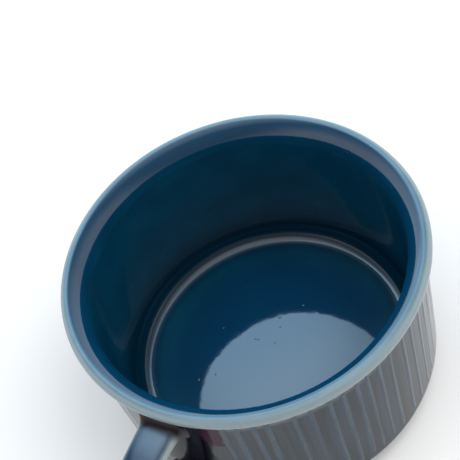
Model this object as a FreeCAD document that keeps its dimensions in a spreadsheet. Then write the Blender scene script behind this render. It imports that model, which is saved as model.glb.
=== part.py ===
import FreeCAD, Part
import math
import os

import Sketcher

# Shaving mug: a wide, low, wheel-thrown porcelain mug with a flared, rounded lip and a strap handle.
# Millimetres. +Z is up, Z = 0 is the plane the foot ring stands on, the Z axis is the mug's axis
# of revolution, and the handle stands out along +X.

os.makedirs("parts", exist_ok=True)
doc = FreeCAD.newDocument("shaving_mug")
V = FreeCAD.Vector

# ---------------------------------------------------------------- driving dimensions
DIMENSIONS = [
    ("glaze", 0.3, "thickness of every glaze layer"),
    ("lip_centre_radius", 48.1, "radius of the ring through the centre of the lip's round section"),
    ("lip_height", 52.7, "height of the lip's widest circle"),
    ("lip_bead", 1.9, "radius of the lip's round section, glaze included"),
    ("flare_radius", 7.8, "radius of the curve from the inner wall out to the lip, glaze included"),
    ("flare_turn", 60.0, "how far that curve has turned where it runs into the lip, degrees"),
    ("cove_height", 9.75, "height of the centre of the cove round the floor"),
    ("cove_radius", 5.0, "radius of the cove, glaze included"),
    ("floor_slope", 8.5, "slope of the domed floor where it meets the cove, degrees"),
    ("wall_top_radius", 47.85, "outer radius right under the lip, glaze included"),
    ("wall_foot_radius", 47.35, "outer radius right above the heel, glaze included"),
    ("heel_height", 7.75, "height where the wall turns into the heel"),
    ("heel_radius", 3.0, "radius of the heel, glaze included"),
    ("heel_slope", 25.0, "slope of the underside between heel and foot, degrees"),
    ("foot_outer", 40.0, "outer radius of the foot ring"),
    ("foot_inner", 36.0, "inner radius of the foot ring"),
    ("foot_round", 0.8, "rounding of the foot ring's edges"),
    ("foot_draft", 0.4, "how far each side of the foot ring leans over its height"),
    ("vault_edge", 2.9, "height of the recess under the floor, at the foot ring"),
    ("vault_rise", 1.6, "how much the recess rises to its centre"),
    ("glaze_end", 41.2, "radius where the wall glaze stops above the foot"),
    ("strap_width", 10.5, "handle strap, side to side, glaze included"),
    ("strap_thick", 4.0, "handle strap, through its thickness, glaze included"),
    ("strap_round", 1.7, "rounding of the strap's edges, glaze included"),
    ("loop_height", 29.25, "height of the middle of the handle loop"),
    ("loop_half", 15.25, "half the height of the loop's centre line"),
    ("loop_begin", 52.0, "distance from the axis where the loop starts to bend"),
    ("loop_reach", 26.0, "how far the centre line runs out beyond that"),
    ("loop_tip", 11.0, "radius of the loop's outer bend"),
    ("strap_inside", 44.0, "distance from the axis where the strap's sweep starts"),
    ("joint_end", 51.0, "distance from the axis where the luted joint runs out"),
    ("joint_flare", 2.3, "how far the luted joint spreads round the strap"),
    ("stripe_count", 72.0, "raised stripes round the wall"),
    ("stripe_angle", 1.3, "width of one stripe, degrees"),
    ("stripe_proud", 0.15, "how far a stripe stands off the wall"),
    ("stripe_low", 9.0, "height of a stripe's lower end"),
    ("stripe_high", 50.5, "height of a stripe's upper end"),
]

sheet = doc.addObject("Spreadsheet::Sheet", "dims")
for row, (alias, value, note) in enumerate(DIMENSIONS, start=1):
    sheet.set(f"A{row}", note)
    sheet.set(f"B{row}", str(value))
    sheet.setAlias(f"B{row}", alias)
doc.recompute()


def number(expression):
    """The value that an expression of the sheet's aliases has now."""
    value = sheet.evalExpression(expression)
    return float(getattr(value, "Value", value))


def bound(expression):
    """Put the sheet's name before each alias of an expression, so that a sketch can use it."""
    aliases = [alias for alias, _, _ in DIMENSIONS]
    word, result = "", ""
    for letter in expression + " ":
        if letter.isalnum() or letter == "_":
            word += letter
        else:
            result += ("dims." + word if word in aliases else word) + letter
            word = ""
    return result.strip()


# ---------------------------------------------------------------- named points of the section
# Every point is a pair of expressions: distance from the axis, and height. "skin" is the glaze
# thickness that is taken off the outside to reach the fired clay below it.
BORE = "(lip_centre_radius + (flare_radius - lip_bead) * cos(flare_turn) - flare_radius)"
FLARE_HEIGHT = "(lip_height - (flare_radius - lip_bead) * sin(flare_turn))"
COVE_CENTRE = f"({BORE} - cove_radius)"


def lip_inner(skin):
    """Where the flare of the inner wall runs into the lip's round section."""
    size = f"(lip_bead - {skin})"
    return (f"lip_centre_radius - {size} * cos(flare_turn)", f"lip_height + {size} * sin(flare_turn)")


def flare_foot(skin):
    """Where the upright inner wall starts to flare."""
    return (f"{BORE} + {skin}", FLARE_HEIGHT)


def lip_outer(skin):
    """Where the lip's round section meets the outer wall from above."""
    offset = f"(wall_top_radius - {skin} - lip_centre_radius)"
    return (
        f"wall_top_radius - {skin}",
        f"lip_height - sqrt((lip_bead - {skin}) * (lip_bead - {skin}) - {offset} * {offset})",
    )


def lip_wide(skin):
    return (f"lip_centre_radius + lip_bead - {skin}", "lip_height")


def lip_crown(skin):
    return ("lip_centre_radius", f"lip_height + lip_bead - {skin}")


def cove_top(skin):
    return (f"{BORE} + {skin}", "cove_height")


def cove_foot(skin):
    size = f"(cove_radius + {skin})"
    return (f"{COVE_CENTRE} - {size} * sin(floor_slope)", f"cove_height - {size} * cos(floor_slope)")


FLOOR_RADIUS = "((" + cove_foot("0")[0] + ") / sin(floor_slope))"


def floor_middle(skin):
    height = cove_foot("0")[1]
    return ("0", f"{height} + {FLOOR_RADIUS} * (1 - cos(floor_slope)) - {skin}")


HEEL_CENTRE = "(wall_foot_radius - heel_radius)"


def heel_top(skin):
    return (f"wall_foot_radius - {skin}", "heel_height")


def heel_foot(skin):
    size = f"(heel_radius - {skin})"
    return (f"{HEEL_CENTRE} + {size} * sin(heel_slope)", f"heel_height - {size} * cos(heel_slope)")


def on_slope(skin, radius):
    """The point of the sloping underside at this distance from the axis."""
    x, z = heel_foot(skin)
    return (radius, f"{z} - ({x} - ({radius})) * tan(heel_slope)")


VAULT_RADIUS = "((foot_inner - foot_draft)^2 + vault_rise^2) / (2 * vault_rise)"


# ---------------------------------------------------------------- sketch helpers
def plane(body, role):
    return next(o for o in body.Origin.OriginFeatures if o.Role == role)


def start_sketch(body, name, role, offset=None):
    """A sketch on one of the body's origin planes, moved along its normal by an expression."""
    sketch = body.newObject("Sketcher::SketchObject", name)
    sketch.AttachmentSupport = [(plane(body, role), "")]
    sketch.MapMode = "FlatFace"
    if offset:
        sketch.setExpression("AttachmentOffset.Base.z", bound(offset))
    return sketch


def arc_between(p, q, radius, turn):
    """The minor arc from p to q; turn is +1 where it turns left, -1 where it turns right."""
    chord = q - p
    rise = math.sqrt(max(radius * radius - chord.Length**2 / 4, 0))
    side = V(-chord.y, chord.x, 0).normalize() * turn
    centre = (p + q) * 0.5 + side * rise
    first, last = (p, q) if turn > 0 else (q, p)
    angle = [math.atan2(e.y - centre.y, e.x - centre.x) for e in (first, last)]
    if angle[1] < angle[0]:
        angle[1] += 2 * math.pi
    return Part.ArcOfCircle(Part.Circle(centre, V(0, 0, 1), radius), angle[0], angle[1])


def draw(sketch, points, arcs=None, closed=True):
    """Lines and arcs through the points, each point and each radius bound to the sheet.

    arcs maps the number of a point to (radius expression, turn) for the stretch that follows it.
    """
    arcs = arcs or {}
    places = [V(number(x), number(y), 0) for x, y in points]
    count = len(points) if closed else len(points) - 1
    ends = []
    for i in range(count):
        p, q = places[i], places[(i + 1) % len(points)]
        if i in arcs:
            radius, turn = arcs[i]
            edge = sketch.addGeometry(arc_between(p, q, number(radius), turn), False)
            ends.append((edge, 1, 2) if turn > 0 else (edge, 2, 1))
        else:
            ends.append((sketch.addGeometry(Part.LineSegment(p, q), False), 1, 2))
    for i in range(count if closed else count - 1):
        edge, _, last = ends[i]
        following, first, _ = ends[(i + 1) % count]
        sketch.addConstraint(Sketcher.Constraint("Coincident", edge, last, following, first))
    for i, (x, y) in enumerate(points):
        edge, first, last = ends[min(i, count - 1)]
        corner = first if i < count else last
        if x == "0":
            sketch.addConstraint(Sketcher.Constraint("PointOnObject", edge, corner, -2))
        else:
            tie(sketch, "DistanceX", f"across{i}", x, -1, 1, edge, corner)
        tie(sketch, "DistanceY", f"up{i}", y, -1, 1, edge, corner)
    for i, (radius, _) in arcs.items():
        tie(sketch, "Radius", f"bend{i}", radius, ends[i][0])
    return sketch


def tie(sketch, kind, name, expression, *where):
    """One dimension of a sketch, bound to the sheet."""
    index = sketch.addConstraint(Sketcher.Constraint(kind, *where, number(expression)))
    sketch.renameConstraint(index, name)
    sketch.setExpression(f"Constraints.{name}", bound(expression))


def new_body(label):
    body = doc.addObject("PartDesign::Body", label)
    body.Label = label
    body.Placement = FreeCAD.Placement()
    return body


def revolve(body, name, points, arcs=None, kind="PartDesign::Revolution"):
    """Turn a closed section of the XZ plane right round the mug's axis."""
    sketch = draw(start_sketch(body, name + "_section", "XZ_Plane"), points, arcs)
    feature = body.newObject(kind, name)
    feature.Profile = sketch
    feature.ReferenceAxis = (sketch, ["V_Axis"])
    feature.Angle = 360
    return feature


def strap_section(body, name, height, skin, grow="0", offset=None):
    """The strap's section, a rectangle with rounded edges, standing in a plane across X."""
    half_w = f"(strap_width / 2 - {skin} + {grow})"
    half_t = f"(strap_thick / 2 - {skin} + {grow})"
    bend = f"(strap_round - {skin} + {grow} * 0.8)"
    corners = []
    for sx, sy, first in (("", "-", "x"), ("", "", "y"), ("-", "", "x"), ("-", "-", "y")):
        near_x = f"{sx}1 * ({half_w} - {bend})"
        near_y = f"{height} + {sy}1 * ({half_t} - {bend})"
        side = (f"{sx}1 * {half_w}", near_y)
        edge = (near_x, f"{height} + {sy}1 * {half_t}")
        corners += [edge, side] if first == "x" else [side, edge]
    arcs = {i: (bend, 1) for i in (0, 2, 4, 6)}
    return draw(start_sketch(body, name, "YZ_Plane", offset), corners, arcs)


def loop_path(body, name, begin):
    """The handle's centre line: straight out, a wide arc, the outer bend, and back the same way."""
    tip_x = "(loop_reach - loop_tip)"
    drop = f"(({tip_x}^2 - (loop_half - loop_tip)^2) / (2 * (loop_half - loop_tip)))"
    wide = f"(loop_half + {drop})"
    span = f"sqrt({tip_x}^2 + {drop}^2)"
    join_x = f"loop_begin + {tip_x} * (1 + loop_tip / {span})"
    join_z = f"{drop} * loop_tip / {span}"
    points = [
        (begin, "loop_height + loop_half"),
        ("loop_begin", "loop_height + loop_half"),
        (join_x, f"loop_height + {join_z}"),
        (join_x, f"loop_height - {join_z}"),
        ("loop_begin", "loop_height - loop_half"),
        (begin, "loop_height - loop_half"),
    ]
    arcs = {1: (wide, -1), 2: ("loop_tip", -1), 3: (wide, -1)}
    return draw(start_sketch(body, name, "XZ_Plane"), points, arcs, closed=False)


def sweep(body, name, section, path, kind="PartDesign::AdditivePipe"):
    feature = body.newObject(kind, name)
    feature.Profile = section
    feature.Spine = (path, [])
    feature.Mode = "Frenet"
    return feature


def wall_cut(body, name):
    """Take away everything inside the fired clay's outer wall, so that a root sits on that wall."""
    low, high = heel_top("glaze"), lip_outer("glaze")
    inner = "strap_inside - 14"
    return revolve(body, name, [(inner, low[1]), low, high, (inner, high[1])], kind="PartDesign::Groove")


def joint_loft(body, name, height, kind):
    """The flared collar of clay slip round one end of the strap."""
    wide = strap_section(body, name + "_wide", height, "0", "joint_flare", "strap_inside")
    slim = strap_section(body, name + "_slim", height, "0", "0", "joint_end")
    feature = body.newObject(kind, name)
    feature.Profile = wide
    feature.Sections = [(slim, [""])]
    feature.Ruled = False
    return feature


UPPER = "(loop_height + loop_half)"
LOWER = "(loop_height - loop_half)"


# ---------------------------------------------------------------- sub-parts
def make_body():
    """Fired clay: floor, wall and flared lip in one, standing on a bare foot ring."""
    body = new_body("mug_body")
    outer_foot = "foot_outer + foot_draft"
    inner_foot = "foot_inner - foot_draft"
    points = [
        ("0", "vault_edge + vault_rise"),
        (inner_foot, "vault_edge"),
        ("foot_inner", "foot_round"),
        ("foot_inner + foot_round", "0"),
        ("foot_outer - foot_round", "0"),
        ("foot_outer", "foot_round"),
        on_slope("glaze", outer_foot),
        heel_foot("glaze"),
        heel_top("glaze"),
        lip_outer("glaze"),
        lip_wide("glaze"),
        lip_crown("glaze"),
        lip_inner("glaze"),
        flare_foot("glaze"),
        cove_top("glaze"),
        cove_foot("glaze"),
        floor_middle("glaze"),
    ]
    arcs = {
        0: (VAULT_RADIUS, -1),
        2: ("foot_round", 1),
        4: ("foot_round", 1),
        7: ("heel_radius - glaze", 1),
        9: ("lip_bead - glaze", 1),
        10: ("lip_bead - glaze", 1),
        11: ("lip_bead - glaze", 1),
        12: ("flare_radius - glaze", 1),
        14: ("cove_radius + glaze", -1),
        15: (f"{FLOOR_RADIUS} - glaze", 1),
    }
    revolve(body, "thrown_form", points, arcs)
    return body


def make_liner():
    """Blue glaze over the whole inside, from the lip down across the floor."""
    body = new_body("liner_glaze")
    points = [
        lip_inner("glaze"), lip_inner("0"), flare_foot("0"), cove_top("0"), cove_foot("0"),
        floor_middle("0"), floor_middle("glaze"), cove_foot("glaze"), cove_top("glaze"), flare_foot("glaze"),
    ]
    arcs = {
        1: ("flare_radius", 1),
        3: ("cove_radius", -1),
        4: (FLOOR_RADIUS, 1),
        6: (f"{FLOOR_RADIUS} - glaze", -1),
        7: ("cove_radius + glaze", 1),
        9: ("flare_radius - glaze", -1),
    }
    revolve(body, "liner_coat", points, arcs)
    return body


def make_rim():
    """Thin pale glaze round the lip, down to the crisp edge under it."""
    body = new_body("rim_glaze")
    points = [
        lip_outer("0"), lip_wide("0"), lip_crown("0"), lip_inner("0"),
        lip_inner("glaze"), lip_crown("glaze"), lip_wide("glaze"), lip_outer("glaze"),
    ]
    arcs = {i: ("lip_bead", 1) for i in (0, 1, 2)}
    arcs.update({i: ("lip_bead - glaze", -1) for i in (4, 5, 6)})
    revolve(body, "rim_coat", points, arcs)
    return body


def make_wall_glaze():
    """Brown glaze down the outer wall and heel, open where the handle is luted to the clay."""
    body = new_body("wall_glaze")
    points = [
        lip_outer("glaze"), heel_top("glaze"), heel_foot("glaze"), on_slope("glaze", "glaze_end"),
        on_slope("0", "glaze_end"), heel_foot("0"), heel_top("0"), lip_outer("0"),
    ]
    arcs = {1: ("heel_radius - glaze", -1), 5: ("heel_radius", 1)}
    revolve(body, "wall_coat", points, arcs)
    doc.recompute()
    joint_loft(body, "upper_opening", UPPER, "PartDesign::SubtractiveLoft")
    doc.recompute()
    joint_loft(body, "lower_opening", LOWER, "PartDesign::SubtractiveLoft")
    return body


def make_base_glaze():
    """Glaze in the recess inside the foot ring."""
    body = new_body("base_glaze")
    side = "foot_inner - foot_draft + foot_draft * glaze / (vault_edge - foot_round)"
    points = [
        ("0", "vault_edge + vault_rise"), ("0", "vault_edge + vault_rise - glaze"),
        (side, "vault_edge - glaze"), ("foot_inner - foot_draft", "vault_edge"),
    ]
    arcs = {1: (f"(({side})^2 + vault_rise^2) / (2 * vault_rise)", -1), 3: (VAULT_RADIUS, 1)}
    revolve(body, "base_coat", points, arcs)
    return body


def make_stripes():
    """Narrow raised stripes of blue glaze, evenly spaced, running down the wall."""
    body = new_body("wall_stripes")
    top_x, top_z = lip_outer("0")
    lean = f"((wall_top_radius - wall_foot_radius) / (({top_z}) - heel_height))"
    low = f"wall_foot_radius + (stripe_low - heel_height) * {lean}"
    high = f"wall_foot_radius + (stripe_high - heel_height) * {lean}"
    points = [
        (low, "stripe_low"), (f"{low} + stripe_proud", "stripe_low"),
        (f"{high} + stripe_proud", "stripe_high"), (high, "stripe_high"),
    ]
    one = revolve(body, "one_stripe", points)
    one.setExpression("Angle", bound("stripe_angle"))
    one.Midplane = True
    doc.recompute()
    ring = body.newObject("PartDesign::PolarPattern", "all_stripes")
    ring.Originals = [one]
    ring.Axis = (one.Profile[0], ["V_Axis"])
    ring.Angle = 360
    ring.setExpression("Occurrences", bound("stripe_count"))
    body.Tip = ring
    doc.recompute()
    joint_loft(body, "upper_gap", UPPER, "PartDesign::SubtractiveLoft")
    doc.recompute()
    joint_loft(body, "lower_gap", LOWER, "PartDesign::SubtractiveLoft")
    return body


def make_strap():
    """The pulled clay strap of the handle, bent to a D and cut to sit on the wall."""
    body = new_body("handle_strap")
    path = loop_path(body, "strap_path", "strap_inside")
    section = strap_section(body, "strap_profile", UPPER, "glaze", offset="strap_inside")
    sweep(body, "strap_sweep", section, path)
    doc.recompute()
    wall_cut(body, "strap_ends")
    return body


def make_strap_glaze():
    """Blue glaze all round the strap, between the two luted joints."""
    body = new_body("handle_glaze")
    path = loop_path(body, "coat_path", "joint_end")
    outside = strap_section(body, "coat_outside", UPPER, "0", offset="joint_end")
    inside = strap_section(body, "coat_inside", UPPER, "glaze", offset="joint_end")
    sweep(body, "coat_sweep", outside, path)
    doc.recompute()
    sweep(body, "coat_hollow", inside, path, "PartDesign::SubtractivePipe")
    return body


def make_joint(label, height):
    """One collar of clay slip where the strap is luted to the wall."""
    body = new_body(label)
    joint_loft(body, label + "_collar", height, "PartDesign::AdditiveLoft")
    doc.recompute()
    wall_cut(body, label + "_seat")
    doc.recompute()
    hole = strap_section(body, label + "_hole", height, "glaze", offset="strap_inside - 1")
    pocket = body.newObject("PartDesign::Pocket", label + "_passage")
    pocket.Profile = hole
    pocket.Reversed = True
    pocket.setExpression("Length", bound("joint_end - strap_inside + 2"))
    return body


bodies = [
    make_body(),
    make_strap(),
    make_joint("handle_joint_upper", UPPER),
    make_joint("handle_joint_lower", LOWER),
    make_liner(),
    make_rim(),
    make_wall_glaze(),
    make_stripes(),
    make_base_glaze(),
    make_strap_glaze(),
]
doc.recompute()

# ---------------------------------------------------------------- checks and files
for thing in doc.Objects:
    bad = [state for state in thing.State if state in ("Invalid", "Error")]
    if bad:
        raise RuntimeError(f"{thing.Label}: {bad} {thing.getStatusString()}")
for body in bodies:
    shape = body.Shape
    if shape.isNull() or not shape.isValid() or not shape.Solids:
        raise RuntimeError(f"{body.Label}: no valid solid")

joints = [body for body in bodies if body.Label.startswith("handle_joint")]
for body in joints:
    full, seat = body.Group[2].Shape.Volume, body.Shape.Volume
    if not 0 < seat < full:
        raise RuntimeError(f"{body.Label}: the strap's passage cuts nothing")

for body in bodies:
    body.Shape.exportStep(f"parts/{body.Label}.step")
    box = body.Shape.BoundBox
    print(
        f"{body.Label:20s} {len(body.Shape.Solids):3d} solids  {body.Shape.Volume:10.1f} mm3  "
        f"x {box.XMin:.2f}..{box.XMax:.2f}  y {box.YMin:.2f}..{box.YMax:.2f}  z {box.ZMin:.2f}..{box.ZMax:.2f}"
    )
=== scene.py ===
import math
import random

import bmesh
import bpy
from mathutils import Matrix, Vector, noise


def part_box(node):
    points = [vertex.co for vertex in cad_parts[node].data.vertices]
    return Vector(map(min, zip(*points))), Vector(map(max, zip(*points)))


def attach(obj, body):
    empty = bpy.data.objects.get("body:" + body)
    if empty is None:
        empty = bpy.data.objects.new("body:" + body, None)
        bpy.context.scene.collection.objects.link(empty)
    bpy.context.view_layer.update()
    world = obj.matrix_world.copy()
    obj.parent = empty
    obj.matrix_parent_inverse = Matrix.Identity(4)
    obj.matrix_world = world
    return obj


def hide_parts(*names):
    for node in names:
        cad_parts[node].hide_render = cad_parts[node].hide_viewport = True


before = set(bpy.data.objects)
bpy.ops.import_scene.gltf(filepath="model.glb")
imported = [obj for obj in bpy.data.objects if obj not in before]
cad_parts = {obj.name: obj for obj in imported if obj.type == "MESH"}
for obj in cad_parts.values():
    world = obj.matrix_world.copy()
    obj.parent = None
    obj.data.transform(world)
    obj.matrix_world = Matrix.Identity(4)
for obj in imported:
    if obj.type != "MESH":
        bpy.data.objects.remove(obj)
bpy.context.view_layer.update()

MM = 0.001

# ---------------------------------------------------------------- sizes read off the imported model
_, RIM_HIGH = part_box("rim_glaze")
WALL_LOW, WALL_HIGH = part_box("wall_glaze")
BASE_LOW, BASE_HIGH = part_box("base_glaze")
STRIPE_LOW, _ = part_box("wall_stripes")
STRAP_LOW, STRAP_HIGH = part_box("handle_glaze")

GLAZE = 0.3 * MM                                # thickness of every glaze layer
BEAD = 1.9 * MM                                 # radius of the lip's round section
LIP_R = RIM_HIGH[0] - BEAD                      # ring through the middle of that section
LIP_Z = RIM_HIGH[2] - BEAD
FLARE = 7.8 * MM                                # radius of the curve from the inner wall to the lip
FLARE_TURN = math.radians(60)
WALL_TOP_R = WALL_HIGH[0]
WALL_FOOT_R = WALL_TOP_R - 0.5 * MM
HEEL_R = 3.0 * MM
HEEL_Z = WALL_LOW[2] + 4.78 * MM
HEEL_SLOPE = math.radians(25)
GLAZE_END_R = 41.2 * MM                         # where the wall glaze stops above the foot
COVE = 5.0 * MM                                 # radius of the cove round the floor
COVE_Z = 9.75 * MM
FLOOR_SLOPE = math.radians(8.5)
VAULT_EDGE = 2.9 * MM                           # height of the recess under the floor, at its edge
STRAP_W = (STRAP_HIGH[1] - STRAP_LOW[1]) / 2    # half the strap's width
STRAP_T = 2.0 * MM                              # half its thickness
LOOP_Z = (STRAP_HIGH[2] + STRAP_LOW[2]) / 2
LOOP_HALF = (STRAP_HIGH[2] - STRAP_LOW[2]) / 2 - STRAP_T
LOOP_BEGIN = 52.0 * MM                          # where the loop starts to bend
LOOP_REACH = STRAP_HIGH[0] - STRAP_T - LOOP_BEGIN
LOOP_TIP = 11.0 * MM                            # radius of its outer bend

# ---------------------------------------------------------------- sizes that only the looks have
BODY_STEPS, WALL_STEPS, BASE_STEPS = 480, 720, 240    # steps round the axis
UNEVEN_FINE, UNEVEN_BROAD = 0.030, 0.055              # unevenness of a thrown surface, millimetres

LINE_SEED = 11
LINE_ANGLES = (-11, -2.8, 2.2, 8.3, 12.8, 17.5, 21.5, 26.3, 31.2, 38, 43, 49)    # from the camera's
LINE_GAP = (4.0, 6.2)                           # degrees between the lines after those
LINE_CLOSING_GAP = 6.5                          # degrees left where the last meets the first
LINE_HALF_WIDTH = (0.8, 1.25)                   # degrees
LINE_END_WANDER = (-0.4, 0.6)                   # millimetres
LINE_PROUD = 0.09 * MM
LINE_EDGE_SUNK = 0.01 * MM
LINE_BACK_SUNK = 0.2 * MM
LINE_TOP_GAP = 0.05 * MM                        # between its upper end and the lip's glaze
LINE_DRIFT = 0.22                               # how far a line wanders sideways, degrees
LINE_SWELL = 0.22                               # share by which its width comes and goes
LINE_TAPER = 0.75                               # share by which it narrows at its lower end
LINE_TAPER_START = 0.95                         # where that begins, as a share of its length
LINE_ROWS, LINE_ACROSS = 44, 8
NO_LINES_IN_HANDLE_SHADE = 15                             # degrees each side of the handle where the lines are left off, over the painted shade there

STRAP_AROUND = 64
STRAP_SIDES, STRAP_FACES = 0.52, 0.62           # powers that square its section; 1 is an ellipse
STRAP_IN_WALL = 1.2 * MM                        # how far its two ends run into the wall
STRAP_UNEVEN = 0.05 * MM
LUTE_SPREAD = 2.0 * MM                          # how far the strap spreads where it meets the wall
LUTE_FADE = 1.1 * MM                            # how quickly that dies away from the wall
LUTE_END = 6 * MM                               # where it stops, past the start of the loop
LUTE_UPWARD = 0.95                              # spread above and below, as a share of sideways

# ---------------------------------------------------------------- camera and light
CAMERA_AZIMUTH = 44.0                           # degrees from the handle round to the camera
CAMERA_ELEVATION = 51.387
CAMERA_AWAY = 5.268                             # lip radii from the middle of the lip's circle
CAMERA_RISE = 0.02556                           # how far above it the camera aims, per distance
CAMERA_ROLL = -21.58
LIP_CIRCLE_DROP = 1.1 * MM                      # from the top of the lip to that circle
SENSOR, LENS = 36, 78.26087                     # millimetres
DOME_LIGHT = 0.78
SOFTBOX_SIZE = 0.6
SOFTBOX_AWAY = 0.7
SOFTBOX_AIM = (0, 0, 0.02)
FLOOR_HALF = 3.0


# ---------------------------------------------------------------- small helpers
def smooth(low, high, value):
    """0 below low, 1 above high, eased between."""
    t = min(max((value - low) / (high - low), 0.0), 1.0)
    return t * t * (3 - 2 * t)


def arc(centre, radius, start, stop, steps):
    """Points of a circular arc in a section, angles in degrees from +X."""
    points = []
    for i in range(steps + 1):
        a = math.radians(start + (stop - start) * i / steps)
        points.append((centre[0] + radius * math.cos(a), centre[1] + radius * math.sin(a)))
    return points


def line(p, q, steps):
    """Points from p to q, both ends included."""
    dx, dz = q[0] - p[0], q[1] - p[1]
    return [(p[0] + dx * i / steps, p[1] + dz * i / steps) for i in range(steps + 1)]


def joined(*runs):
    """One list of points from several runs, without the doubled ends."""
    out = []
    for run in runs:
        for point in run:
            if not out or math.dist(out[-1], point) > 1e-7:
                out.append(point)
    return out


def section_normals(points):
    """The left-hand normal of a section line at each of its points."""
    normals = []
    for i in range(len(points)):
        a, b = points[max(i - 1, 0)], points[min(i + 1, len(points) - 1)]
        dx, dz = b[0] - a[0], b[1] - a[1]
        size = math.hypot(dx, dz) or 1.0
        normals.append((-dz / size, dx / size))
    return normals


def direction(azimuth, elevation):
    """Unit vector away from the mug; azimuth is counted from the camera's, both in degrees."""
    a, e = math.radians(CAMERA_AZIMUTH + azimuth), math.radians(elevation)
    return Vector((math.cos(a) * math.cos(e), math.sin(a) * math.cos(e), math.sin(e)))


def new_object(name, verts, faces, sharp=35):
    """A mesh object with its normals facing out, smooth except at edges over sharp degrees."""
    mesh = bpy.data.meshes.new(name)
    mesh.from_pydata(verts, [], faces)
    mesh.validate()
    outward = bmesh.new()
    outward.from_mesh(mesh)
    bmesh.ops.recalc_face_normals(outward, faces=outward.faces)
    outward.to_mesh(mesh)
    outward.free()
    mesh.shade_smooth()
    mesh.set_sharp_from_angle(angle=math.radians(sharp))
    obj = bpy.data.objects.new(name, mesh)
    bpy.context.scene.collection.objects.link(obj)
    return obj


def place(obj, slot, nodes, material):
    """Give a piece its material, hang it on the root body, and hide the imported nodes it stands in for."""
    obj.data.materials.append(material)
    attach(obj, "root")
    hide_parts(*nodes)


def coat(name, outside, segments, thickness, relief):
    """A glaze coat turned round the axis: the seen side, and the same line one thickness behind it.

    relief(angle, r, z) moves the seen side along its normal.
    """
    normals = section_normals(outside)
    behind = [(max(r - n[0] * thickness, 0.0), z - n[1] * thickness)
              for (r, z), n in zip(outside, normals)]
    if outside[-1][0] < 1e-6:
        behind[-1] = (0.0, outside[-1][1] - thickness)
    ring = [(p, n, True) for p, n in zip(outside, normals)]
    ring += [(p, n, False) for p, n in zip(reversed(behind), reversed(normals))]
    verts, index = [], []
    for i in range(segments):
        angle = 2 * math.pi * i / segments
        row = []
        for k, ((r, z), n, seen) in enumerate(ring):
            if r < 1e-6 and i:
                row.append(index[0][k])
                continue
            if seen:
                push = relief(angle, r, z)
                r, z = r + n[0] * push * (r > 1e-6), z + n[1] * push
            row.append(len(verts))
            verts.append((r * math.cos(angle), r * math.sin(angle), z))
        index.append(row)
    faces = []
    count = len(ring)
    for i in range(segments):
        a, b = index[i], index[(i + 1) % segments]
        for k in range(count):
            m = (k + 1) % count
            corners = list(dict.fromkeys((a[k], a[m], b[m], b[k])))
            if len(corners) > 2:
                faces.append(corners)
    return new_object(name, verts, faces)


# ---------------------------------------------------------------- section of the mug
BORE = LIP_R + (FLARE - BEAD) * math.cos(FLARE_TURN) - FLARE
FLARE_Z = LIP_Z - (FLARE - BEAD) * math.sin(FLARE_TURN)
FLARE_START = 180 - math.degrees(FLARE_TURN)
COVE_R = BORE - COVE
COVE_FOOT = (COVE_R - COVE * math.sin(FLOOR_SLOPE), COVE_Z - COVE * math.cos(FLOOR_SLOPE))
DOME = COVE_FOOT[0] / math.sin(FLOOR_SLOPE)
DOME_Z = COVE_FOOT[1] - DOME * math.cos(FLOOR_SLOPE)
LIP_OUT = (WALL_TOP_R, LIP_Z - math.sqrt(BEAD**2 - (WALL_TOP_R - LIP_R) ** 2))
HEEL_TOP = (WALL_FOOT_R, HEEL_Z)
HEEL_CENTRE = (WALL_FOOT_R - HEEL_R, HEEL_Z)


# ---------------------------------------------------------------- node helpers
class Graph:
    """Short names for building a node tree. A colour is an output, or plain (red, green, blue)."""

    def __init__(self, tree):
        self.tree = tree

    def add(self, kind):
        return self.tree.nodes.new(kind)

    def link(self, a, b):
        self.tree.links.new(a, b)

    def put(self, value, socket):
        """Link an output to a socket, or set the socket to a constant."""
        if isinstance(value, bpy.types.NodeSocket):
            self.link(value, socket)
        else:
            socket.default_value = value

    def math(self, operation, *values):
        node = self.add("ShaderNodeMath")
        node.operation = operation
        for value, socket in zip(values, node.inputs):
            self.put(value, socket)
        return node.outputs[0]

    def span(self, value, low, high, out_low=0.0, out_high=1.0):
        """out_low where the value is at low, out_high where it is at high, eased between."""
        node = self.add("ShaderNodeMapRange")
        node.interpolation_type = "SMOOTHSTEP"
        self.link(value, node.inputs["Value"])
        for key, number in (("From Min", low), ("From Max", high),
                            ("To Min", out_low), ("To Max", out_high)):
            node.inputs[key].default_value = number
        return node.outputs["Result"]

    def mix(self, factor, a, b, kind="MIX"):
        """a where the factor is 0, b where it is 1. Inputs 6 and 7 and output 2 are the colour ones."""
        node = self.add("ShaderNodeMix")
        node.data_type = "RGBA"
        node.blend_type = kind
        self.put(factor, node.inputs["Factor"])
        for colour, socket in ((a, node.inputs[6]), (b, node.inputs[7])):
            self.put((*colour, 1.0) if isinstance(colour, tuple) else colour, socket)
        return node.outputs[2]


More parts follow.
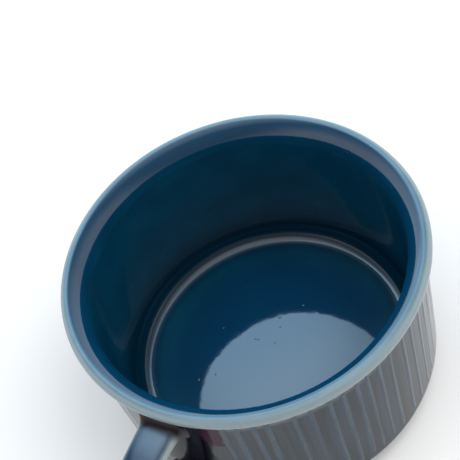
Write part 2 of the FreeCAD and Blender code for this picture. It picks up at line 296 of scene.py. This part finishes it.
class Surface(Graph):
    """One node material, with patterns that lie in the object's own space."""

    def __init__(self, name):
        self.material = bpy.data.materials.new(name)
        self.material.use_nodes = True
        super().__init__(self.material.node_tree)
        self.tree.nodes.clear()
        output = self.add("ShaderNodeOutputMaterial")
        self.shader = self.add("ShaderNodeBsdfPrincipled")
        self.link(self.shader.outputs["BSDF"], output.inputs["Surface"])
        self.place = self.add("ShaderNodeTexCoord").outputs["Object"]

    def noise(self, scale, detail=2, roughness=0.5, stretch=None):
        """Soft noise; stretch multiplies its scale axis by axis."""
        node = self.add("ShaderNodeTexNoise")
        node.inputs["Scale"].default_value = scale
        node.inputs["Detail"].default_value = detail
        node.inputs["Roughness"].default_value = roughness
        place = self.place
        if stretch:
            mapping = self.add("ShaderNodeMapping")
            mapping.inputs["Scale"].default_value = stretch
            self.link(place, mapping.inputs["Vector"])
            place = mapping.outputs["Vector"]
        self.link(place, node.inputs["Vector"])
        return node.outputs["Fac"]

    def wander(self, pattern, low=0.0, high=1.0):
        """A noise pattern spread over the whole way from low to high."""
        return self.span(pattern, 0.3, 0.7, low, high)

    def specks(self, scale, size, share):
        """1 inside small round specks, 0 elsewhere; share is how many cells have one."""
        node = self.add("ShaderNodeTexVoronoi")
        node.inputs["Scale"].default_value = scale
        self.link(self.place, node.inputs["Vector"])
        spot = self.span(node.outputs["Distance"], size, size * 0.4)
        split = self.add("ShaderNodeSeparateColor")
        self.link(node.outputs["Color"], split.inputs["Color"])
        return self.math("MULTIPLY", spot, self.math("LESS_THAN", split.outputs["Red"], share))

    def ramp(self, factor, *stops):
        """Colours along a value; each stop is (position, colour)."""
        node = self.add("ShaderNodeValToRGB")
        elements = node.color_ramp.elements
        for i, (position, colour) in enumerate(stops):
            element = elements[i] if i < 2 else elements.new(position)
            element.position = position
            element.color = (*colour, 1.0)
        self.link(factor, node.inputs["Fac"])
        return node.outputs["Color"]

    def axis(self, name):
        node = self.add("ShaderNodeSeparateXYZ")
        self.link(self.place, node.inputs["Vector"])
        return node.outputs[name]

    def radius(self):
        x2 = self.math("MULTIPLY", self.axis("X"), self.axis("X"))
        y2 = self.math("MULTIPLY", self.axis("Y"), self.axis("Y"))
        return self.math("SQRT", self.math("ADD", x2, y2))

    def bump(self, height, distance):
        node = self.add("ShaderNodeBump")
        node.inputs["Distance"].default_value = distance
        self.link(height, node.inputs["Height"])
        self.link(node.outputs["Normal"], self.shader.inputs["Normal"])

    def finish(self, colour, roughness, ior=1.55):
        self.put(colour, self.shader.inputs["Base Color"])
        self.put(roughness, self.shader.inputs["Roughness"])
        self.shader.inputs["IOR"].default_value = ior
        return self.material


# ---------------------------------------------------------------- materials
def blue_glaze(name):
    """Deep teal-blue glaze: cloudy, darker up the flare as painted shade, darkest round the cove, with a
    few pinholes.
    """
    deep, clear = (0.0010, 0.034, 0.069), (0.0014, 0.044, 0.085)
    on_floor, flare_shade = (0.0007, 0.024, 0.064), (0.0010, 0.022, 0.056)
    cove_dark, in_pinhole = (0.0004, 0.008, 0.018), (0.0006, 0.012, 0.03)
    m = Surface(name)
    cloud = m.noise(90, 4, 0.55)
    fine = m.noise(420)
    colour = m.ramp(m.wander(cloud), (0.0, deep), (1.0, clear))
    floor = m.span(m.radius(), COVE_R - 2 * MM, COVE_R - 12 * MM)
    colour = m.mix(m.math("MULTIPLY", floor, 0.8), colour, on_floor)
    # painted shade: the glaze darkens up the flare towards the lip
    flare = m.span(m.axis("Z"), FLARE_Z + 0.5 * MM, FLARE_Z + 3 * MM, 0.0, 0.6)
    colour = m.mix(flare, colour, flare_shade)
    # darkest in a ring round the cove, low down
    ring = m.span(m.radius(), COVE_R - 3 * MM, COVE_R + 3.5 * MM)
    low = m.span(m.axis("Z"), COVE_Z + 12 * MM, COVE_Z - 2 * MM)
    colour = m.mix(m.math("MULTIPLY", m.math("MULTIPLY", ring, low), 0.8), colour, cove_dark)
    pinhole = m.specks(330, 0.16, 0.16)
    colour = m.mix(m.math("MULTIPLY", pinhole, 0.7), colour, in_pinhole)
    rough = m.wander(fine, 0.035, 0.07)
    waves = m.math("ADD", m.noise(70), m.math("MULTIPLY", m.noise(320), 0.3))
    m.bump(m.math("ADD", waves, m.math("MULTIPLY", pinhole, -0.5)), 0.05 * MM)
    return m.finish(colour, rough)


def strap_glaze():
    """The blue glaze of the handle, pale over the strap's sides where the glaze thins and a highlight is
    painted, with painted shade, dark brown and dulled, where it meets the wall.
    """
    deep, clear = (0.0008, 0.012, 0.036), (0.0012, 0.020, 0.050)
    thin_glaze_and_highlight, shade_at_root = (0.24, 0.30, 0.30), (0.012, 0.007, 0.010)
    m = Surface("handle_glaze_blue")
    colour = m.ramp(m.wander(m.noise(110, 4, 0.55)), (0.0, deep), (1.0, clear))
    # pale over the rounded sides of the strap: partly the glaze thinning there, partly a painted highlight
    # where the edges catch the light
    side = m.math("ABSOLUTE", m.axis("Y"))
    edge = m.math("ADD", side, m.math("MULTIPLY", m.noise(240, 3), 0.5 * MM))
    colour = m.mix(m.span(edge, STRAP_W - 0.9 * MM, STRAP_W + 0.3 * MM), colour, thin_glaze_and_highlight)
    # painted shade: dark brown where the strap meets the wall, with the gloss dulled there too
    root = m.span(m.radius(), WALL_TOP_R + 4.5 * MM, WALL_TOP_R + 1.5 * MM)
    colour = m.mix(root, colour, shade_at_root)
    m.link(m.span(root, 0.0, 1.0, 0.5, 0.2), m.shader.inputs["Specular IOR Level"])
    m.bump(m.noise(90), 0.05 * MM)
    return m.finish(colour, m.wander(m.noise(380), 0.04, 0.09))


def rim_glaze():
    """The lip: blue on its inner half, breaking to a pale blue-grey over the outer half."""
    pale_under = (0.225, 0.250, 0.245)
    m = Surface("rim_glaze_thin")
    cloud = m.math("SUBTRACT", m.noise(60, 4, 0.6), 0.5)
    across = m.math("ADD", m.radius(), m.math("MULTIPLY", cloud, 0.9 * MM))
    colour = m.ramp(
        m.span(across, LIP_R - 1.5 * MM, LIP_R + 1.3 * MM),
        (0.0, (0.003, 0.030, 0.070)), (0.243, (0.010, 0.052, 0.098)), (0.5, (0.032, 0.086, 0.132)),
        (0.757, (0.084, 0.148, 0.185)), (1.0, (0.178, 0.236, 0.258)),
    )
    colour = m.mix(m.span(m.axis("Z"), LIP_Z + 0.6 * MM, LIP_Z - 0.4 * MM), colour, pale_under)
    rough = m.wander(m.noise(300), 0.05, 0.1)
    m.bump(m.noise(110), 0.03 * MM)
    return m.finish(colour, rough)


def by_handle(m, low, high, bottom, top):
    """1 on a ragged-edged patch of wall by the handle, between two values of y and two of z."""
    ragged, soft = 3.5 * MM, 1.6 * MM
    wander = m.math("MULTIPLY", m.math("SUBTRACT", m.noise(140, 3, 0.55), 0.5), ragged)
    y, z = m.math("ADD", m.axis("Y"), wander), m.math("ADD", m.axis("Z"), wander)
    patch = m.math("GREATER_THAN", m.axis("X"), 0.0)
    for value, limit, beyond in ((y, low, low - soft), (y, high, high + soft),
                                 (z, bottom, bottom - soft), (z, top, top + soft)):
        patch = m.math("MULTIPLY", patch, m.span(value, beyond, limit))
    return patch


def wall_colours(m):
    """Near-black brown glaze, blue-grey in streaks, maroon beside the handle with painted shadow next to
    it, and a painted reflection of the lip that makes the wall pale under the lip.
    """
    brown, black, blue_grey = (0.0070, 0.0045, 0.0040), (0.0025, 0.0050, 0.0080), (0.0075, 0.0180, 0.0310)
    maroon, painted_shadow_colour, pale = (0.038, 0.015, 0.025), (0.0050, 0.0030, 0.0050), (0.17, 0.205, 0.21)
    streak = m.noise(1, 3, 0.6, stretch=(330, 330, 14))
    colour = m.ramp(m.span(streak, 0.32, 0.68), (0.0, brown), (0.5, black), (1.0, blue_grey))
    maroon_patch = by_handle(m, -7 * MM, 14.6 * MM, 39 * MM, 60 * MM)
    # painted shadow: near black on the wall beside and under the handle, standing in for its shadow and its
    # dark reflection
    painted_handle_shadow = by_handle(m, -7 * MM, 9.8 * MM, 22 * MM, 60 * MM)
    colour = m.mix(maroon_patch, colour, maroon)
    colour = m.mix(painted_handle_shadow, colour, painted_shadow_colour)
    # painted shade: the gloss is dulled on both patches by the handle, so the wall there doesn't mirror the
    # bright table
    dull = m.math("MAXIMUM", maroon_patch, painted_handle_shadow)
    m.link(m.span(dull, 0.0, 1.0, 0.5, 0.10), m.shader.inputs["Specular IOR Level"])
    # painted light: the tint turns the wall's head-on reflections blue, standing in for bluish light;
    # grazing reflections stay white
    m.shader.inputs["Specular Tint"].default_value = (0.68, 0.87, 1.0, 1.0)
    # painted reflection: pale just under the lip, standing in for the lip mirrored in the wall, softened,
    # and left off where the handle's shade is painted
    painted_lip_reflection = m.span(m.axis("Z"), LIP_OUT[1] - 5 * MM, LIP_OUT[1] - 1 * MM, 0.0, 0.85)
    painted_lip_reflection = m.math("MULTIPLY", painted_lip_reflection, m.math("SUBTRACT", 1.0, dull))
    return m.mix(painted_lip_reflection, colour, pale)


def finish_wall(m, colour):
    """The gloss and the upright ripples that the wall and its lines share."""
    rough = m.wander(m.noise(260), 0.08, 0.14)
    m.bump(m.noise(1, stretch=(300, 300, 12)), 0.12 * MM)
    return m.finish(colour, rough, 1.45)


def brown_glaze():
    """The wall between its raised lines."""
    m = Surface("wall_glaze_brown")
    return finish_wall(m, wall_colours(m))


def stripe_glaze():
    """The raised lines: blue-grey along the middle, fading into the wall at both edges."""
    thin, thick = (0.012, 0.026, 0.042), (0.028, 0.052, 0.074)
    m = Surface("stripe_glaze_blue")
    flow = m.noise(1, 3, 0.6, stretch=(500, 500, 60))
    blue = m.ramp(m.wander(flow), (0.0, thin), (1.0, thick))
    crest = m.add("ShaderNodeAttribute")
    crest.attribute_name = "crest"
    return finish_wall(m, m.mix(m.span(crest.outputs["Fac"], 0.0, 0.85), wall_colours(m), blue))


def fired_clay():
    """Bare porcelain of the foot ring: off-white, matt, finely grained."""
    warm, light, speckled = (0.50, 0.44, 0.37), (0.62, 0.57, 0.50), (0.22, 0.17, 0.13)
    m = Surface("fired_clay_bare")
    colour = m.ramp(m.wander(m.noise(45, 4, 0.6)), (0.0, warm), (1.0, light))
    colour = m.mix(m.math("MULTIPLY", m.specks(1500, 0.25, 0.05), 0.6), colour, speckled)
    grain = m.noise(2600, 3, 0.7)
    m.bump(grain, 0.05 * MM)
    return m.finish(colour, m.wander(grain, 0.55, 0.75))


# ---------------------------------------------------------------- the mug's glazes
def thrown(angle, r, z):
    """The slight unevenness a glazed, thrown surface has."""
    p = Vector((r * math.cos(angle), r * math.sin(angle), z))
    return (noise.noise(p * 75) * UNEVEN_FINE + noise.noise(p * 28 + Vector((7, 3, 1))) * UNEVEN_BROAD) * MM


def make_liner():
    """The inside, from the lip down the wall and the cove to the middle of the domed floor."""
    steps = 60
    flare = arc((BORE + FLARE, FLARE_Z), FLARE, FLARE_START, 180, 30)
    wall = line(flare[-1], (BORE, COVE_Z), steps)
    cove = arc((COVE_R, COVE_Z), COVE, 0, -90 - math.degrees(FLOOR_SLOPE), 24)
    floor = []
    for i in range(steps + 1):
        a = FLOOR_SLOPE * (1 - i / steps)
        floor.append((DOME * math.sin(a), DOME_Z + DOME * math.cos(a)))
    seen = joined(flare, wall, cove, floor)
    obj = coat("liner", seen, BODY_STEPS, -GLAZE, lambda a, r, z: -thrown(a, r, z))
    place(obj, "blue_glaze", ["liner_glaze"], blue_glaze("liner_glaze_blue"))


def make_rim():
    """The lip's round section, from the flare over the top to the outer wall."""
    stop = math.degrees(math.atan2(LIP_OUT[1] - LIP_Z, LIP_OUT[0] - LIP_R))
    seen = arc((LIP_R, LIP_Z), BEAD, FLARE_START, stop, 40)
    obj = coat("rim", seen, BODY_STEPS, GLAZE, thrown)
    place(obj, "rim_glaze", ["rim_glaze"], rim_glaze())


def make_wall():
    """The outside, from under the lip round the heel to where the glaze stops above the foot."""
    wall = line(LIP_OUT, HEEL_TOP, 50)
    heel = arc(HEEL_CENTRE, HEEL_R, 0, -90 + math.degrees(HEEL_SLOPE), 14)
    end_z = heel[-1][1] - (heel[-1][0] - GLAZE_END_R) * math.tan(HEEL_SLOPE)
    slope = line(heel[-1], (GLAZE_END_R, end_z), 8)
    obj = coat("wall", joined(wall, heel, slope), WALL_STEPS, GLAZE, thrown)
    place(obj, "brown_glaze", ["wall_glaze"], brown_glaze())


def make_base():
    """The shallow vault inside the foot ring."""
    steps = 40
    edge = BASE_HIGH[0]
    rise = BASE_HIGH[2] - VAULT_EDGE
    curve = (edge**2 + rise**2) / (2 * rise)
    top = BASE_LOW[2] + rise
    seen = []
    for i in range(steps + 1):
        r = edge * (1 - i / steps)
        seen.append((r, top - curve + math.sqrt(curve**2 - r**2)))
    obj = coat("base", seen, BASE_STEPS, -GLAZE, lambda a, r, z: -thrown(a, r, z) * 0.5)
    place(obj, "blue_glaze", ["base_glaze"], blue_glaze("base_glaze_blue"))


# ---------------------------------------------------------------- lines down the wall
def line_angles(dice):
    """Where the lines stand, in degrees from the handle: unevenly all round, but left off beside it, where
    the wall is painted dark as shade.
    """
    angles = [CAMERA_AZIMUTH + a for a in LINE_ANGLES]
    a = angles[-1]
    while a < angles[0] + 360 - LINE_CLOSING_GAP:
        a += dice.uniform(*LINE_GAP)
        angles.append(a)
    return [a for a in angles if abs((a + 180) % 360 - 180) >= NO_LINES_IN_HANDLE_SHADE]


def raised_line(angle, dice):
    """Points of one line, and how near each is to its crest, from 0 to 1.

    Each row runs across the seen side and back behind it.
    """
    width = math.radians(dice.uniform(*LINE_HALF_WIDTH))
    phase = dice.uniform(0, 50)
    top, end = LIP_OUT[1] - LINE_TOP_GAP, STRIPE_LOW[2] + dice.uniform(*LINE_END_WANDER) * MM
    verts, crest = [], []
    for i in range(LINE_ROWS + 1):
        t = i / LINE_ROWS
        z = top + (end - top) * t
        r = WALL_TOP_R + (WALL_FOOT_R - WALL_TOP_R) * (LIP_OUT[1] - z) / (LIP_OUT[1] - HEEL_Z)
        drift = math.radians(noise.noise(Vector((phase, t * 3, 0))) * LINE_DRIFT)
        half = width * (1 + LINE_SWELL * noise.noise(Vector((phase, t * 5, 9))))
        half *= 1 - LINE_TAPER * smooth(LINE_TAPER_START, 1, t)
        seen = [-1 + 2 * k / LINE_ACROSS for k in range(LINE_ACROSS + 1)]
        row = [(u, LINE_PROUD * (1 - u * u) ** 2 - LINE_EDGE_SUNK * abs(u) ** 3, 1 - u * u) for u in seen]
        row += [(1, -LINE_BACK_SUNK, 0.0), (-1, -LINE_BACK_SUNK, 0.0)]
        for u, proud, height in row:
            b = math.radians(angle) + drift + half * u
            verts.append(((r + proud) * math.cos(b), (r + proud) * math.sin(b), z))
            crest.append(height)
    return verts, crest


def make_stripes():
    """All the raised lines in one mesh, with the crest of each marked for its glaze."""
    dice = random.Random(LINE_SEED)
    ring = LINE_ACROSS + 3
    verts, faces, crest = [], [], []
    for angle in line_angles(dice):
        start = len(verts)
        line_verts, line_crest = raised_line(angle, dice)
        verts += line_verts
        crest += line_crest
        for i in range(LINE_ROWS):
            p, q = start + i * ring, start + (i + 1) * ring
            for k in range(ring):
                m = (k + 1) % ring
                faces.append((p + k, q + k, q + m, p + m))
        faces.append(tuple(start + k for k in range(ring)))
        faces.append(tuple(start + LINE_ROWS * ring + k for k in reversed(range(ring))))
    obj = new_object("stripes", verts, faces, 40)
    obj.data.attributes.new("crest", "FLOAT", "POINT").data.foreach_set("value", crest)
    place(obj, "stripe_glaze", ["wall_stripes"], stripe_glaze())


# ---------------------------------------------------------------- handle
def loop_points():
    """Centre line of the strap in the XZ plane, from the upper root round to the lower one."""
    tip_x = LOOP_REACH - LOOP_TIP
    drop = (tip_x**2 - (LOOP_HALF - LOOP_TIP) ** 2) / (2 * (LOOP_HALF - LOOP_TIP))
    wide = LOOP_HALF + drop
    swing = math.degrees(math.atan2(tip_x, drop))
    inside = WALL_TOP_R - STRAP_IN_WALL
    upper = joined(
        line((inside, LOOP_HALF), (LOOP_BEGIN, LOOP_HALF), 14),
        arc((LOOP_BEGIN, -drop), wide, 90, 90 - swing, 26),
        arc((LOOP_BEGIN + tip_x, 0), LOOP_TIP, 90 - swing, 0, 22),
    )
    lower = [(x, -z) for x, z in reversed(upper[:-1])]
    return [(x, LOOP_Z + z) for x, z in upper + lower]


def make_handle():
    """The glazed strap, with its rounded section spreading where it is luted to the wall."""
    path = loop_points()
    verts, faces = [], []
    for (x, z), n in zip(path, section_normals(path)):
        gap = max(x - WALL_TOP_R, 0.0)
        spread = LUTE_SPREAD * math.exp(-gap / LUTE_FADE) if x < LOOP_BEGIN + LUTE_END else 0.0
        half_w, half_t = STRAP_W + spread, STRAP_T + spread * LUTE_UPWARD
        for k in range(STRAP_AROUND):
            a = 2 * math.pi * k / STRAP_AROUND
            c, s = math.cos(a), math.sin(a)
            sideways = Vector((0, math.copysign(abs(c) ** STRAP_SIDES, c) * half_w, 0))
            through = Vector((n[0], 0, n[1])) * (math.copysign(abs(s) ** STRAP_FACES, s) * half_t)
            p = Vector((x, 0, z)) + sideways + through
            wave = noise.noise(p * 90) * STRAP_UNEVEN
            p += (sideways + through).normalized() * wave
            verts.append(tuple(p))
    rings = len(path)
    for i in range(rings - 1):
        p, q = i * STRAP_AROUND, (i + 1) * STRAP_AROUND
        for k in range(STRAP_AROUND):
            m = (k + 1) % STRAP_AROUND
            faces.append((p + k, p + m, q + m, q + k))
    faces.append(tuple(reversed(range(STRAP_AROUND))))
    faces.append(tuple((rings - 1) * STRAP_AROUND + k for k in range(STRAP_AROUND)))
    obj = new_object("handle", verts, faces, 60)
    nodes = ["handle_strap", "handle_glaze", "handle_joint_upper", "handle_joint_lower"]
    place(obj, "blue_glaze", nodes, strap_glaze())


def dress_body():
    """The fired clay stays as packed; only its foot ring shows."""
    clay = fired_clay()
    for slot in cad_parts["mug_body"].material_slots:
        slot.material = clay


# ---------------------------------------------------------------- floor, light, camera
def make_floor():
    """A pale, dull table top."""
    size = FLOOR_HALF
    verts = [(-size, -size, 0), (size, -size, 0), (size, size, 0), (-size, size, 0)]
    floor = new_object("floor", verts, [(0, 1, 2, 3)])
    m = Surface("floor_pale")
    tone = m.ramp(m.noise(3), (0.3, (0.80, 0.80, 0.80)), (0.7, (0.82, 0.82, 0.82)))
    m.finish(tone, 0.8)
    m.shader.inputs["Specular IOR Level"].default_value = 0.0
    floor.data.materials.append(m.material)


def make_softbox(azimuth, elevation, strength):
    """A square soft light aimed at the mug, which the glaze doesn't mirror."""
    light = bpy.data.lights.new("softbox", "AREA")
    light.shape = "SQUARE"
    light.size = SOFTBOX_SIZE
    light.energy = strength * SOFTBOX_SIZE**2 * math.pi
    obj = bpy.data.objects.new("softbox", light)
    away = direction(azimuth, elevation)
    obj.location = Vector(SOFTBOX_AIM) + SOFTBOX_AWAY * away
    obj.rotation_euler = (-away).to_track_quat("-Z", "Y").to_euler()
    obj.visible_glossy = False
    bpy.context.scene.collection.objects.link(obj)


def make_camera():
    """Looks down into the mug from the handle's left, rolled so that the mug leans left."""
    centre = Vector((0, 0, RIM_HIGH[2] - LIP_CIRCLE_DROP))
    distance = CAMERA_AWAY * RIM_HIGH[0]
    away = direction(0, CAMERA_ELEVATION)
    azimuth = math.radians(CAMERA_AZIMUTH)
    right = Vector((-math.sin(azimuth), math.cos(azimuth), 0))
    up = away.cross(right)
    eye = centre + away * distance
    aim = centre + up * distance * CAMERA_RISE
    forward = (aim - eye).normalized()
    up = right.cross(forward)
    roll = math.radians(CAMERA_ROLL)
    x_axis = right * math.cos(roll) + up * math.sin(roll)
    y_axis = up * math.cos(roll) - right * math.sin(roll)
    matrix = Matrix((x_axis, y_axis, -forward)).transposed().to_4x4()
    matrix.translation = eye
    data = bpy.data.cameras.new("camera")
    data.sensor_width = SENSOR
    data.lens = LENS
    data.clip_start = 0.01
    camera = bpy.data.objects.new("camera", data)
    camera.matrix_world = matrix
    bpy.context.scene.collection.objects.link(camera)
    bpy.context.scene.camera = camera


class Sky(Graph):
    """The room as the glaze mirrors it, built from soft-edged patches of light and shade."""

    def __init__(self, tree):
        super().__init__(tree)
        self.place = self.add("ShaderNodeTexCoord").outputs["Generated"]

    def dot(self, azimuth, elevation):
        """Cosine of the angle to a direction."""
        node = self.add("ShaderNodeVectorMath")
        node.operation = "DOT_PRODUCT"
        self.link(self.place, node.inputs[0])
        node.inputs[1].default_value = direction(azimuth, elevation)
        return node.outputs["Value"]

    def lobe(self, azimuth, elevation, edge, core):
        """A round patch: 1 within core degrees of its centre, 0 outside edge degrees."""
        dot = self.dot(azimuth, elevation)
        return self.span(dot, math.cos(math.radians(edge)), math.cos(math.radians(core)))

    def window(self, azimuth, elevation, across, upward, softness):
        """A rectangular patch; across and upward are its half sizes in degrees."""
        front = self.math("MAXIMUM", self.dot(azimuth, elevation), 0.05)
        sides = []
        for sideways, half in (((azimuth + 90, 0), across), ((azimuth, elevation + 90), upward)):
            slope = self.math("ABSOLUTE", self.math("DIVIDE", self.dot(*sideways), front))
            limit = math.tan(math.radians(half))
            sides.append(self.span(slope, limit * (1 + softness), limit * (1 - softness)))
        return self.math("MULTIPLY", *sides)


def make_world():
    """What the glaze mirrors, and for matt surfaces an even dome of light.

    The room is pale low down and dimmer overhead and behind the camera. It glows blue low down
    opposite the camera, and has a bright patch straight above. Opposite the camera stands a tall
    bluish window with a brighter middle.
    """
    pale, dim, behind_camera = (1.25, 1.25, 1.25), (0.38, 0.38, 0.39), (0.3, 0.3, 0.31)
    glow, zenith = (0.2, 0.5, 0.75), (1.6, 1.8, 2.0)
    window, window_middle = (0.7, 1.15, 1.5), (1.35, 2.15, 2.8)
    world = bpy.data.worlds.new("studio")
    world.use_nodes = True
    sky = Sky(world.node_tree)
    light = sky.mix(sky.span(sky.dot(0, 90), 0.35, 0.80), pale, dim)
    light = sky.mix(sky.lobe(0, 38, 62, 24), light, behind_camera)
    light = sky.mix(sky.lobe(180, 5, 80, 30), light, glow, "ADD")
    light = sky.mix(sky.lobe(0, 90, 40, 8), light, zenith)
    light = sky.mix(sky.window(184, 46, 26, 38, 0.15), light, window, "ADD")
    light = sky.mix(sky.lobe(186, 57, 24, 3), light, window_middle, "ADD")
    matt = sky.add("ShaderNodeLightPath").outputs["Is Diffuse Ray"]
    light = sky.mix(matt, light, (DOME_LIGHT, DOME_LIGHT, DOME_LIGHT))
    sky.link(light, sky.tree.nodes["Background"].inputs["Color"])
    bpy.context.scene.world = world
    bpy.context.scene.view_settings.view_transform = "Standard"


make_liner()
make_rim()
make_wall()
make_base()
make_stripes()
make_handle()
dress_body()
make_floor()
make_softbox(75, 58, 2.8)
make_softbox(-70, 60, 0.9)
make_camera()
make_world()
